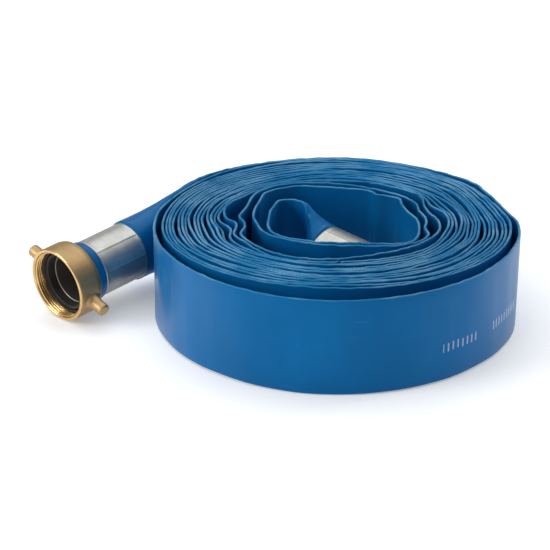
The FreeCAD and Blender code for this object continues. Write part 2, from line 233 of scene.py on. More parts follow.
def stepped(corners, longest):
    """The closed outline through the corners, with points no further apart than longest.

    Each corner is doubled 0.12 mm to either side, so that smooth shading keeps it crisp.
    """
    corners = np.asarray(corners, float)
    points = []
    for here, there in zip(corners, np.roll(corners, -1, 0)):
        length = np.linalg.norm(there - here)
        edge = min(0.12, length / 4) / length
        inner = np.linspace(edge, 1 - edge, max(2, int(math.ceil(length / longest))))
        points.append(here + (there - here) * inner[:, None])
    return np.concatenate(points)


def ripple(s, wavelength, rng, waves=7):
    """Smooth random waves of about one wavelength along s, mostly between -1 and 1."""
    lengths = wavelength * rng.uniform(0.6, 1.8, waves)
    phases = rng.uniform(0, TAU, waves)
    return np.cos(TAU * s[..., None] / lengths + phases).sum(-1) / math.sqrt(waves) * 0.9


def ease(t):
    t = np.clip(t, 0, 1)
    return t * t * (3 - 2 * t)


# --- the hose's line ----------------------------------------------------------------------
# Half sizes of the turns in mm: the outermost turn, then the first tight turn.
OUTERMOST = {"right": 158.475, "front": 158.475, "left": 156.75, "back": 155.025, "start": 160.2}
FIRST_TIGHT = {"right": 151.425, "front": 135.425, "left": 149.4}
TAIL_START = 45.4                   # degrees before the back of the roll

# Control points of the loose turns inside, round the roll axis, in mm.
LOOSE_TURNS = [
    (14, -83.7), (-14, -83.7), (-36, -79), (-53, -72), (-66, -59), (-77, -41), (-88, -26), (-86, -11),
    (-86, -1), (-96, 9), (-98, 24), (-95, 44), (-88, 62), (-73, 81), (-53, 94), (-25, 99),
    (10, 99.5), (38, 97), (58, 89), (73, 74), (80, 58), (80, 40), (83, 24), (90, 6), (90, -13),
    (84, -30), (69, -50), (50, -62), (22, -71), (-8, -76.5), (-33, -73.5), (-52, -64), (-66, -50),
    (-77, -34), (-82, -22), (-78, -10), (-79, 2), (-85, 15), (-79, 31), (-75, 46), (-73, 58),
    (-68, 71), (-54, 84), (-34, 91.5), (-8, 93), (18, 89.5), (38, 82), (57, 71), (69, 58), (75, 44), (75, 30),
    (80, 15), (80, 1), (76, -11), (79, -27), (68, -42), (46, -51), (20, -52), (-8, -50), (-28, -42),
    (-44, -34), (-58, -24), (-65, -12), (-68, 0), (-72, 15), (-71, 32), (-66, 52), (-62, 71), (-49, 79),
    (-32, 86), (-4, 82.5), (22, 79), (35, 76), (38, 67), (49, 64), (60, 58), (60, 45), (64, 29), (71, 14),
    (73, 1), (71, -21), (66, -37), (56, -45), (36, -47), (10, -46.5), (-12, -45), (-32, -36.5),
    (-47, -28.5), (-55.5, -17), (-59, -3), (-58, 16), (-57, 29), (-55, 33), (-51, 47),
    (-48.5, 52), (-43, 53.5), (-36, 54), (-33, 52.6), (-30.5, 50.8), (-26.8, 47.9),
]


def spline(points, steps=12):
    """Quadratic B-spline: each span is a parabola through the middles of its two legs."""
    p = np.asarray(points, float)
    t = (np.arange(steps) / steps)[None, :, None]
    spans = (0.5 * (1 - t) ** 2 * p[:-2, None] + (0.5 + t * (1 - t)) * p[1:-1, None]
             + 0.5 * t ** 2 * p[2:, None])
    return np.concatenate([spans.reshape(-1, 2), [(p[-2] + p[-1]) / 2]])


def tightened(points, share):
    """Each inner control point becomes two, nearer to it along its legs, for sharper kinks."""
    p = np.asarray(points, float)
    pulled = 0.5 - 0.5 * share
    pairs = np.stack([p[1:-1] + pulled * (p[:-2] - p[1:-1]), p[1:-1] + pulled * (p[2:] - p[1:-1])], 1)
    return np.concatenate([p[:1], pairs.reshape(-1, 2), p[-1:]])


def wound(turn_angle, hose):
    """Plan points of the neat turns, at angles in degrees clockwise from the back.

    Each quarter of a turn is a quarter of an ellipse, x = X sin a and y = Y cos a, whose
    half sizes X and Y shrink by one pitch from turn to turn.
    """
    turn = np.floor(turn_angle / 360)
    quarter = np.floor((turn_angle - turn * 360) / 90)
    depth = np.maximum(turn - 1, 0) * hose.turn_pitch
    outer = turn < 1
    back = OUTERMOST["back"] - (turn - 1) * hose.turn_pitch
    sides = {name: np.where(outer, OUTERMOST[name], FIRST_TIGHT[name] - depth)
             for name in ("right", "front", "left")}
    back_here = np.where(outer, OUTERMOST["right"], back)
    back_next = back - hose.turn_pitch
    x_half = np.where(turn < 0, OUTERMOST["start"], np.where(quarter < 2, sides["right"], sides["left"]))
    y_half = np.select([turn < 0, quarter == 0, quarter == 3], [OUTERMOST["right"], back_here, back_next],
                       sides["front"])
    a = np.radians(turn_angle)
    return np.stack([x_half * np.sin(a), y_half * np.cos(a)], 1)


def squeeze(turn_angle, hose, rng):
    """How far each neat turn is pushed inwards, in mm.

    The gaps between turns are random and add up from the outside in; a flat chord presses
    the outer turns in at the right back, and two kinks dent the innermost ones.
    """
    turns = hose.tight_turns
    turn = np.floor(turn_angle / 360)
    angle = np.arange(2 * 360, (turns + 1) * 360, 3.0)
    share = 0.12 + (0.5 + 0.5 * np.clip(ripple(angle, 80, rng), -1, 1)) ** 2.4
    ends = ease((angle - 720) / 60) * ease(((turns + 1) * 360 - angle) / 60)
    share = (1 + ends * (share / share.mean() - 1)).reshape(turns - 1, -1)
    share *= (turns - 1) / share.sum(0)
    pushed = np.cumsum(share - 1, 0) * (hose.turn_pitch - hose.fold_thickness)
    random = np.interp(turn_angle, angle, pushed.ravel(), left=0)

    plan = (90 - turn_angle) % 360
    plan = np.where(plan > 180, plan - 360, plan)
    reach = np.clip((16 - np.abs(plan - 18)) / 16, 0, 1)
    chord = 160 * (1 - math.cos(math.radians(16)) / np.cos(np.radians(np.clip(plan, 2, 34) - 18)))
    chord *= np.where(turn < 1, 1.0, np.clip(0.6 - 0.06 * (turn - 1), 0, 1))
    chord = np.where((turn < 0) | (reach == 0), 0, chord)

    def dent(where, width, depth, last, fade):
        near = np.exp(-(((plan - where + 180) % 360 - 180) / width) ** 2)
        return near * depth * np.exp(-np.maximum(last - turn, 0) / fade) * (turn <= last) * (turn >= 1)

    right = dent(23, 9, 6.5, turns, 1.5) + dent(-16, 16, 3.0, turns, 2.5)
    left = dent(191, 10, 8.5, turns - 1, 2.2)
    return random + chord + right + left


def plan_line(hose, rng):
    """Plan points of the whole flat hose, about 1 mm apart, from the outer lead inwards."""
    last = hose.tight_turns * 360 + 180
    turn_angle = np.arange(-TAIL_START, last, 0.35)
    points = wound(turn_angle, hose)
    ahead = np.gradient(points, axis=0)
    ahead /= np.linalg.norm(ahead, axis=1)[:, None]
    inwards = np.stack([ahead[:, 1], -ahead[:, 0]], 1)
    fade = ease((last - turn_angle) / 25)
    points = points + inwards * (squeeze(turn_angle, hose, rng) * fade)[:, None]
    loose = spline(tightened(LOOSE_TURNS, hose.kink_sharpness))
    return np.concatenate([points, loose]), len(points)


def lead_line(mouth, way, meeting, heading, steps):
    """Cubic from a ferrule's mouth to the flat hose, tangent at both ends."""
    t = np.linspace(0, 1, steps)[:, None]
    span = np.linalg.norm(meeting - mouth)
    return (mouth * (1 - 3 * t ** 2 + 2 * t ** 3) + way * span * (t - 2 * t ** 2 + t ** 3)
            + meeting * (3 * t ** 2 - 2 * t ** 3) + heading * span * (t ** 3 - t ** 2))


SECTION_POINTS = 32
FOLD_POINTS = 9


def section(half_thick, middle_half_thick, perimeter):
    """Outlines across the hose, one row per station: (sideways, upwards) in mm.

    A flat hose is two long walls and two half-round folds. A round one is an ellipse with
    the same perimeter, and the thickness says how far a station is from one to the other.
    """
    b = half_thick[:, None]
    a = (perimeter - TAU * b) / 4 + b
    turn = np.arange(SECTION_POINTS) * TAU / SECTION_POINTS
    round_x, round_z = b * np.cos(turn), a * np.sin(turn)
    fold = np.linspace(0, math.pi, FOLD_POINTS)
    walls = (SECTION_POINTS - 2 * FOLD_POINTS) // 2
    down = np.linspace(1, -1, walls + 2)[1:-1]
    unit_x = np.concatenate([np.cos(fold), -np.ones(walls), -np.cos(fold), np.ones(walls)])
    lift = np.concatenate([np.sin(fold), np.zeros(walls), -np.sin(fold), np.zeros(walls)])
    straight = np.concatenate([np.ones(FOLD_POINTS), down, -np.ones(FOLD_POINTS), -down])
    thick = np.where(np.abs(straight) < 1, middle_half_thick[:, None] + (b - middle_half_thick[:, None])
                     * straight ** 4, b)
    flat_x = unit_x * thick
    flat_z = straight * (a - b) + lift * b
    first = (SECTION_POINTS // 4) - (FOLD_POINTS - 1) // 2
    flat_x, flat_z = np.roll(flat_x, first, 1), np.roll(flat_z, first, 1)
    share = ease((9 - b) / 6)
    return share * flat_x + (1 - share) * round_x, share * flat_z + (1 - share) * round_z


def hose_piece(hose, couplings, materials):
    """The whole hose as one closed skin, from the bore of one end to the bore of the other."""
    rng = np.random.default_rng(hose.seed)
    flat, neat_count = plan_line(hose, rng)
    middle = hose.flat_width / 2
    flat = np.column_stack([flat + ROLL_AXIS[:2], np.full(len(flat), middle)])
    ring, ferrule = couplings.end_ring, couplings.ferrule_length
    outer_mouth = OUTER_FACE + OUTER_AXES[0] * (couplings.nut_length + 1 + ring + ferrule)
    inner_mouth = INNER_FACE + INNER_AXES[0] * (couplings.shoulder + ring + ferrule)
    start_way = flat[1] - flat[0]
    end_way = flat[-1] - flat[-2]
    start_way /= np.linalg.norm(start_way)
    end_way /= np.linalg.norm(end_way)
    outer_lead = lead_line(outer_mouth, OUTER_AXES[0], flat[0], start_way, 60)
    inner_lead = lead_line(inner_mouth, INNER_AXES[0], flat[-1], -end_way, 30)[::-1]
    dense = np.concatenate([outer_lead[:-1], flat, inner_lead[1:]])
    run = np.concatenate([[0], np.cumsum(np.linalg.norm(np.diff(dense, axis=0), axis=1))])
    lead_end = run[len(outer_lead) - 1]
    neat_end = run[len(outer_lead) - 1 + neat_count]
    loose_end = run[len(run) - len(inner_lead)]

    s = np.concatenate([np.arange(0, lead_end + 60, 2.2), np.arange(lead_end + 60, neat_end - 300, 6.3),
                        np.arange(neat_end - 300, loose_end - 20, 3.6),
                        np.arange(loose_end - 20, run[-1], 1.6), [run[-1]]])
    place = np.stack([np.interp(s, run, dense[:, n]) for n in range(3)], 1)
    ahead = np.stack([np.interp(s + 1.5, run, dense[:, n]) - np.interp(s - 1.5, run, dense[:, n])
                      for n in range(3)], 1)
    ahead[0], ahead[-1] = OUTER_AXES[0], -INNER_AXES[0]
    ahead /= np.linalg.norm(ahead, axis=1)[:, None]
    upright = np.array([0, 0, 1.0]) - ahead * ahead[:, 2:3]
    upright /= np.linalg.norm(upright, axis=1)[:, None]
    sideways = np.cross(upright, ahead)          # towards the outside of the roll

    lead_share = np.clip(s / lead_end, 0, 1)
    half = np.interp(lead_share, [0, 0.12, 0.24, 0.36, 0.47, 0.58, 0.7, 0.86, 1],
                     [hose.end_radius, 25.0, 23.0, 18.5, 12.5, 7.8, 4.4, 2.2, hose.fold_thickness / 2])
    inner_share = np.clip((run[-1] - s) / (run[-1] - loose_end), 0, 1)
    half = np.where(s > loose_end, np.interp(inner_share, [0, 0.12, 0.35, 0.6, 0.82, 1],
                    [hose.end_radius, 24.8, 19, 9.0, 2.6, hose.fold_thickness / 2]), half)
    flatness = ease((6 - half) / 4)
    middle_half = half - (hose.fold_thickness - hose.middle_thickness) / 2 * flatness
    perimeter = 2 * (hose.flat_width - hose.fold_thickness) + math.pi * hose.fold_thickness
    x, z = section(half, middle_half, perimeter)

    # wrinkles: the whole section leans, bows and shifts by smooth random waves
    inner_part = ease((s - neat_end + 100) / 300) * ease((loose_end - s) / 60)
    first_turn = ease((s - lead_end) / 80) * ease((lead_end + 1060 - s) / 60)
    up = z / middle
    bow = (first_turn * (0.5 * ripple(s, 85, rng) + 0.22 * ripple(s, 24, rng)) + inner_part * 0.9
           * ripple(s, 60, rng))[:, None] * (1 - up ** 2)
    lean = (inner_part * 1.1 * ripple(s, 90, rng) + first_turn * 0.35 * ripple(s, 60, rng))[:, None] * up
    left = lead_end + 800                      # a short wrinkle on the outermost turn
    dimple = np.exp(-((s - left) / 8) ** 2) - 0.6 * np.exp(-((s - left - 19) / 9) ** 2)
    bow -= 3.2 * dimple[:, None] * np.exp(-((up - 0.3) / 0.5) ** 2)
    crease = (inner_part * 0.5)[:, None] * ripple(s[:, None] + 0.8 * z, 26, rng)
    x = x + (bow + lean + crease * (1 - up ** 2)) * flatness[:, None]
    neat = flatness * (0.5 + 0.5 * ripple(s, 230, rng)) * hose.lift
    grid = place[:, None] + sideways[:, None] * x[..., None] + upright[:, None] * z[..., None]
    grid[..., 2] += neat[:, None] + flatness[:, None] * 0.25 * (ripple(s, 14, rng)[:, None]) * (up > 0.9)
    grid[..., 2] = np.maximum(grid[..., 2], 0.02)

    def round_rows(face, axes, stops):
        """Rings of the hose's round ends: distance from the coupling's face, and radius."""
        turn = np.arange(SECTION_POINTS) * TAU / SECTION_POINTS
        ring_way = np.cross(axes[2], axes[0]) if axes is OUTER_AXES else -np.cross(axes[2], axes[0])
        stops = np.asarray(stops, float)
        across = np.cos(turn)[:, None] * ring_way + np.sin(turn)[:, None] * axes[2]
        return face + stops[:, :1, None] * axes[0] + stops[:, 1:, None] * across

    def end_rings(start):
        mouth = start + ring
        deep = mouth + ferrule - 2
        outside, bore = hose.end_ring_radius, hose.bore_radius
        return [(deep, 0.001), (deep, bore * 0.6), (deep, bore), (mouth + 20, bore),
                (start + 0.5, bore), (start, bore + 0.5), (start, outside - 0.7),
                (start + 0.3, outside - 0.15), (start + 2.5, outside + 0.25),
                (mouth - 1.2, outside), (mouth - 0.2, outside - 0.4),
                (mouth + 0.1, hose.end_radius), (mouth + 20, hose.end_radius),
                (mouth + ferrule - 1, hose.end_radius)]

    outer_rings = round_rows(OUTER_FACE, OUTER_AXES, end_rings(couplings.nut_length + 1))
    inner_rings = round_rows(INNER_FACE, INNER_AXES, end_rings(couplings.shoulder))[::-1]
    grid = np.concatenate([outer_rings, grid, inner_rings])

    around = np.linalg.norm(np.diff(grid, axis=1, append=grid[:, :1]), axis=2)
    v = np.concatenate([np.zeros((len(grid), 1)), np.cumsum(around, 1)], 1)
    centre = grid.mean(1)
    u = np.concatenate([[0], np.cumsum(np.linalg.norm(np.diff(centre, axis=0), axis=1))])
    columns = SECTION_POINTS
    # Mask of the fold crests. The hose material paints them paler, partly stress whitening and partly a painted
    # highlight, with painted glint patches.
    fold_value = np.concatenate([np.zeros((len(outer_rings), columns)),
                                 np.clip((np.abs(up) - 0.974) / 0.02, 0, 1) * flatness[:, None],
                                 np.zeros((len(inner_rings), columns))])

    def uv(quads):
        row, column = quads // columns, quads % columns
        seam = (column.max(1) - column.min(1) > 1)[:, None] & (column == 0)
        column = np.where(seam, columns, column)
        return np.stack([u[row], v[row, column]], -1) * MM

    piece = put("hose_skin", [surface(grid)], "hose", materials, uv, {"fold": fold_value})
    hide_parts("hose_roll", "hose_outer_lead", "hose_outer_end", "hose_inner_lead", "hose_inner_end")
    return piece


# --- couplings --------------------------------------------------------------------------
def threaded(start, crest, depth, end, fade_from, fade_over):
    """Radius change of a helical thread: a ridge that climbs one pitch for each turn.

    The blank is at the crest's radius, and the change takes it to the root, by depth,
    wherever there is no ridge. The ridge fades in over the first millimetre and out at end.
    """
    def change(along, radius, a):
        phase = ((along - start) / THREAD_PITCH - a / TAU) % 1.0
        ridge = np.clip((0.5 - np.abs(phase - 0.5)) * 3.2 - 0.35, 0, 1)
        fade = ease((along - fade_from) / fade_over) * ease((end - along) / 1.2)
        return (np.abs(radius - crest) < 0.01) * depth * (1 - ridge * fade)
    return change


def ferrule_piece(name, node, start, face, axes, couplings, materials):
    """Crimped sleeve: a tube whose outside is pressed in by the dies.

    The radius drops by a shallow cosine over each die, with a thin raised line between dies,
    and the mouth lips roll slightly outwards.
    """
    r, length, dies = couplings.ferrule_radius, couplings.ferrule_length, couplings.ferrule_dies
    wall = FERRULE_WALL
    outline = stepped([(start, r - wall), (start, r), (start + length, r), (start + length, r - wall)], 1.6)

    def press(along, radius, a):
        outside = radius > r - 0.05
        t = (along - start) / length
        phase = (a * dies / TAU + 0.25) % 1.0
        flat = -0.42 * np.sin(math.pi * phase) ** 0.6
        seam = 0.28 * np.exp(-(np.minimum(phase, 1 - phase) / 0.035) ** 2)
        crimp = ease(t / 0.07) * ease((1 - t) / 0.07)
        lip = 0.25 * np.exp(-(np.minimum(t, 1 - t) / 0.02) ** 2)
        return outside * ((flat + seam) * crimp + lip - 0.2 * crimp * np.cos(t * TAU * 5) ** 8 * 0.4)

    shell = turned(outline, 256, axes, face, press)
    piece = put(name, [shell], "hose", materials)
    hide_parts(node)
    return piece


def nut_piece(couplings, materials):
    """Swivel nut: barrel, helical inside thread, back wall and two lugs.

    A lug's surface is height = barrel + k, where barrel = sqrt(R^2 - b^2) at sideways
    distance b from the lug's middle, so its foot follows the barrel.
    """
    r, length = couplings.nut_radius, couplings.nut_length
    crest, depth = couplings.female_radius, couplings.thread_depth
    root = crest + depth
    shoulder = length - NUT_BACK_WALL
    hole = couplings.shank_radius + SWIVEL_CLEARANCE
    smooth = stepped([(length, hole), (shoulder, hole), (shoulder, root), (NUT_THREAD_END, root)], 1.2)
    along = np.arange(NUT_THREAD_END, 1.2, -0.13)
    thread = np.column_stack([along, np.full(len(along), crest)])
    bend = np.linspace(0, math.pi / 2, 5)
    rim = np.column_stack([1.3 - 1.3 * np.sin(bend[1:-1]), r - 1.3 + 1.3 * np.cos(bend[1:-1])])[::-1]
    mouth = [(1.1, root + 0.05), (0.5, root + 0.35), (0.08, root + 0.8), (0, root + 1.0)]
    sides = stepped([(1.3, r), (length - 6.5, r), (length - 3, r - 0.9), (length - 0.9, r - 2.6)], 1.5)
    back = [(length - 0.5, r - 3.1), (length - 0.1, r - 3.6), (length, r - 4.2)]
    outside = np.concatenate([mouth, rim, sides[:-1], back])
    profile = np.concatenate([smooth, thread, outside])
    steps = 216
    thread_cut = threaded(1.2, crest, depth, NUT_THREAD_END - 0.1, 1.2, 0.8)
    barrel = turned(profile, steps, OUTER_AXES, OUTER_FACE, thread_cut)
    cut = np.zeros(len(profile), int)
    cut[:len(smooth) + len(thread) + 5] = 1
    face_material = [np.repeat(cut, steps)]

    shells = [barrel]
    tip = couplings.lug_span / 2 - r
    lug_profile = [(0.001, -1.6), (5.0, -1.5), (9.0, -1.0), (9.0, -0.35), (8.1, 0.25), (7.2, 1.0), (6.5, 2.2),
                   (6.0, 4.0), (5.75, 6.0), (5.62, 9.0), (5.5, tip - 1.5), (5.35, tip - 0.9), (4.9, tip - 0.35),
                   (4.2, tip - 0.05), (2.2, tip + 0.05), (0.001, tip + 0.05)]
    lug_profile = np.array(lug_profile) * [couplings.lug_radius / 5.5, 1]
    spread, k = lug_profile[:, :1], lug_profile[:, 1:]
    turn = (np.arange(48) * TAU / 48)[None]
    b = spread * np.sin(turn)
    flat_share = ease((k - 1.5) / 6)
    follow = np.sqrt(r * r - b * b)
    height = (1 - flat_share) * follow + flat_share * r + k
    for side in (1, -1):
        local = np.stack([LUG_POSITION + spread * np.cos(turn), side * height, b], -1)
        tilt = couplings.lug_tilt
        y = local[..., 1] * math.cos(tilt) + local[..., 2] * math.sin(tilt)
        z = -local[..., 1] * math.sin(tilt) + local[..., 2] * math.cos(tilt)
        local = np.stack([local[..., 0], y, z], -1)
        shell = surface(local @ OUTER_AXES + OUTER_FACE)
        shells.append(shell)
        face_material.append(np.zeros(len(shell[1]), int))
    piece = put("swivel_nut_cast", shells, "swivel", materials,
                face_material=np.concatenate(face_material))
    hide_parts("swivel_nut")
    return piece


GASKET_FRONT, GASKET_BACK = 9.4, 18.4       # from the nut's face, in mm


def gasket_piece(couplings, materials):
    """Moulded washer: a flat ring with a shallow groove and rounded edges."""
    outer, inner = couplings.female_radius + couplings.thread_depth, couplings.shank_radius + 0.3
    radius = np.linspace(inner + 0.6, outer - 0.6, 14)
    dip = GASKET_FRONT + 0.5 * np.exp(-((radius - (inner + outer) / 2) / 0.9) ** 2)
    back = GASKET_BACK
    profile = np.concatenate([np.column_stack([dip, radius]),
                              stepped([(GASKET_FRONT + 0.6, outer), (back, outer), (back, inner),
                                       (GASKET_FRONT + 0.6, inner)], 1.5)])
    shell = turned(profile, 128, OUTER_AXES, OUTER_FACE)
    piece = put("gasket_ring", [shell], "swivel", materials)
    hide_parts("gasket")
    return piece


def shank_piece(couplings, materials):
    """Turned tube with its flange, and fine tool marks as rings in the bore."""
    bore, r = couplings.shank_bore, couplings.shank_radius
    lip, front, back = 17.5, 18.7, 22.2
    flange = couplings.female_radius + couplings.thread_depth - 0.3
    end = couplings.nut_length + 1 + couplings.end_ring + SHANK_INSERTION
    outline = stepped([(lip + 0.35, bore), (lip, bore + 0.35), (lip, r - 0.4), (lip + 0.4, r),
                       (front, r), (front, flange), (back, flange), (back, r), (end, r),
                       (end, bore)], 0.9)

    def marks(along, radius, a):
        in_bore = (np.abs(radius - bore) < 0.02) * (along < end - 1)
        return in_bore * 0.05 * np.sin(along * 3.1 + 0.4 * np.sin(a))

    shell = turned(outline, 144, OUTER_AXES, OUTER_FACE, marks)
    piece = put("shank_tube", [shell], "hose", materials)
    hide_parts("female_shank")
    return piece


def male_piece(couplings, materials):
    """Inner coupling: helical outside thread, collar with two spanner flats, and shank.

    A flat is cut where the collar's radius times the cosine of the angle passes the half
    width: there the radius becomes half width / |cos a|.
    """
    bore, r = couplings.shank_bore, couplings.shank_radius
    crest, depth = couplings.male_radius, couplings.thread_depth
    root = crest - depth
    shoulder, collar = couplings.shoulder, MALE_COLLAR_RADIUS
    end = shoulder + couplings.end_ring + SHANK_INSERTION
    along = np.arange(1.0, 11.8, 0.14)
    thread = np.column_stack([along, np.full(len(along), crest)])
    front = stepped([(end, r), (end, bore), (0.4, bore), (0, bore + 0.5), (0, root - 0.8),
                     (0.7, root)], 1.2)[:-2]
    back = stepped([(12.0, root), (13.5, root), (13.5, collar - 0.6), (14.1, collar),
                    (shoulder - 0.6, collar), (shoulder, collar - 0.6), (shoulder, r), (end - 0.5, r)], 0.9)[:-3]

    thread_cut = threaded(1.0, crest, -depth, 12.0, 0.8, 1.2)

    def cut(along, radius, a):
        flats = (along > 13.6) & (along < shoulder - 0.1) & (radius > 30)
        flat = np.minimum(0, MALE_FLAT_HALF_WIDTH / np.maximum(np.abs(np.cos(a)), 0.5) - radius)
        return thread_cut(along, radius, a) + np.where(flats, flat, 0)

    profile = np.concatenate([front, thread, back])
    shell = turned(profile, 192, INNER_AXES, INNER_FACE, cut)
    piece = put("male_thread_end", [shell], "hose", materials)
    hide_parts("male_coupling")
    return piece


# --- materials --------------------------------------------------------------------------
def group_tree(name, inputs, outputs):
    """A new shader node group; inputs and outputs are (name, socket type, default)."""
    tree = bpy.data.node_groups.new(name, "ShaderNodeTree")
    for way, sockets in (("INPUT", inputs), ("OUTPUT", outputs)):
        for label, kind, default in sockets:
            socket = tree.interface.new_socket(name=label, in_out=way, socket_type="NodeSocket" + kind)
            if default is not None:
                socket.default_value = default
    return tree, tree.nodes.new("NodeGroupInput"), tree.nodes.new("NodeGroupOutput")


class Nodes:
    """Short ways of adding linked nodes to one tree."""

    def __init__(self, tree):
        self.tree = tree

    def add(self, kind, **settings):
        node = self.tree.nodes.new("ShaderNode" + kind)
        for label, value in settings.items():
            setattr(node, label, value)
        return node

    def feed(self, socket, value):
        if isinstance(value, bpy.types.NodeSocket):
            self.tree.links.new(value, socket)
        else:
            socket.default_value = value

    def maths(self, operation, *values, clamp=False):
        node = self.add("Math", operation=operation, use_clamp=clamp)
        for socket, value in zip(node.inputs, values):
            self.feed(socket, value)
        return node.outputs[0]

    def noise(self, vector, scale, detail=3.0, roughness=0.55):
        node = self.add("TexNoise")
        self.feed(node.inputs["Vector"], vector)
        for label, value in (("Scale", scale), ("Detail", detail), ("Roughness", roughness)):
            self.feed(node.inputs[label], value)
        return node.outputs[0]

    def between(self, value, low, high, to_low=0.0, to_high=1.0):
        node = self.add("MapRange")
        for socket, v in zip(node.inputs, (value, low, high, to_low, to_high)):
            self.feed(socket, v)
        return node.outputs[0]

    def mix(self, share, first, second, blend="MIX"):
        node = self.add("Mix", data_type="RGBA", blend_type=blend)
        self.feed(node.inputs["Factor"], share)
        for socket, value in ((node.inputs[6], first), (node.inputs[7], second)):
            if isinstance(value, bpy.types.NodeSocket):
                self.feed(socket, value)
            else:
                socket.default_value = (*value[:3], 1.0)
        return node.outputs[2]

    def placed(self, tree, **values):
        node = self.tree.nodes.new("ShaderNodeGroup")
        node.node_tree = tree
        for label, value in values.items():
            self.feed(node.inputs[label.replace("_", " ")], value)
        return node


def mottle_group():
    """Slow colour drift and fine speckle: two noises, each spread to 0..1."""
    tree, given, result = group_tree("Mottle", [("Vector", "Vector", None), ("Drift Scale", "Float", 12.0),
                                                 ("Speckle Scale", "Float", 400.0)],
                                     [("Drift", "Float", None), ("Speckle", "Float", None)])
    n = Nodes(tree)
    drift = n.between(n.noise(given.outputs[0], given.outputs[1]), 0.32, 0.68)
    speckle = n.between(n.noise(given.outputs[0], given.outputs[2], 2.0), 0.35, 0.65)
    n.feed(result.inputs[0], drift)
    n.feed(result.inputs[1], speckle)
    return tree


def scuff_group():
    """Fine scratches and rubbed spots: stretched noise kept only at its peaks."""
    tree, given, result = group_tree("Scuffs", [("Vector", "Vector", None), ("Scale", "Float", 30.0),
                                                 ("Amount", "Float", 0.5)], [("Mask", "Float", None)])
    n = Nodes(tree)
    stretch = n.add("Mapping")
    n.feed(stretch.inputs["Vector"], given.outputs[0])
    stretch.inputs["Scale"].default_value = (1.0, 1.0, 9.0)
    stretch.inputs["Rotation"].default_value = (0.3, 0.2, 0.9)
    thin = n.between(n.noise(stretch.outputs[0], given.outputs[1], 5.0, 0.7), 0.58, 0.72)
    patches = n.between(n.noise(given.outputs[0], n.maths("MULTIPLY", given.outputs[1], 0.3)), 0.45, 0.7)
    both = n.maths("MULTIPLY", thin, patches)
    n.feed(result.inputs[0], n.maths("MULTIPLY", both, given.outputs[2], clamp=True))
    return tree


def grain_group():
    """Height of cast or tumbled metal: lumps of two sizes."""
    tree, given, result = group_tree("Cast Grain", [("Vector", "Vector", None), ("Scale", "Float", 900.0)],
                                     [("Height", "Float", None)])
    n = Nodes(tree)
    fine = n.noise(given.outputs[0], given.outputs[1], 2.0)
    coarse = n.noise(given.outputs[0], n.maths("MULTIPLY", given.outputs[1], 0.22), 2.0)
    n.feed(result.inputs[0], n.maths("ADD", n.maths("MULTIPLY", fine, 0.4), n.maths("MULTIPLY", coarse, 0.6)))
    return tree


def yarn_group():
    """Relief of the reinforcing yarn under the skin, from a map in metres.

    Two families of spiral yarns cross at equal and opposite angles, each a rounded sine
    along u + v and u - v, over straight yarns along the hose.
    """
    tree, given, result = group_tree("Yarn Relief", [("Vector", "Vector", None), ("Spacing", "Float", 0.0026)],
                                     [("Height", "Float", None), ("Dots", "Float", None)])
    n = Nodes(tree)
    parts = n.add("SeparateXYZ")
    n.feed(parts.inputs[0], given.outputs[0])
    u, v = parts.outputs[0], parts.outputs[1]

    def wave(value, factor):
        turns = n.maths("DIVIDE", n.maths("MULTIPLY", value, factor * TAU), given.outputs[1])
        return n.maths("MULTIPLY_ADD", n.maths("SINE", turns), 0.5, 0.5)

    one = wave(n.maths("MULTIPLY_ADD", v, 0.8, u), 1.0)
    other = wave(n.maths("MULTIPLY_ADD", v, -0.8, u), 1.0)
    straight = wave(v, 0.8)
    crossing = n.maths("MULTIPLY", one, other)
    n.feed(result.inputs[0], n.maths("ADD", n.maths("MULTIPLY", n.maths("MAXIMUM", one, other), 0.6),
                                     n.maths("MULTIPLY", straight, 0.4)))
    n.feed(result.inputs[1], n.between(crossing, 0.3, 0.8))
    return tree


def shared(name, maker):
    return bpy.data.node_groups.get(name) or maker()


def new_material(name):
    material = bpy.data.materials.new(name)
    material.use_nodes = True
    n = Nodes(material.node_tree)
    shader = material.node_tree.nodes["Principled BSDF"]
    coordinates = n.add("TexCoord")
    return material, n, shader, coordinates


def bumped(n, shader, height, strength, distance):
    """Feed a height, in shares of distance, to the shader's normal through a Bump node."""
    node = n.add("Bump")
    node.inputs["Strength"].default_value = strength
    node.inputs["Distance"].default_value = distance
    n.feed(node.inputs["Height"], height)
    n.feed(shader.inputs["Normal"], node.outputs[0])


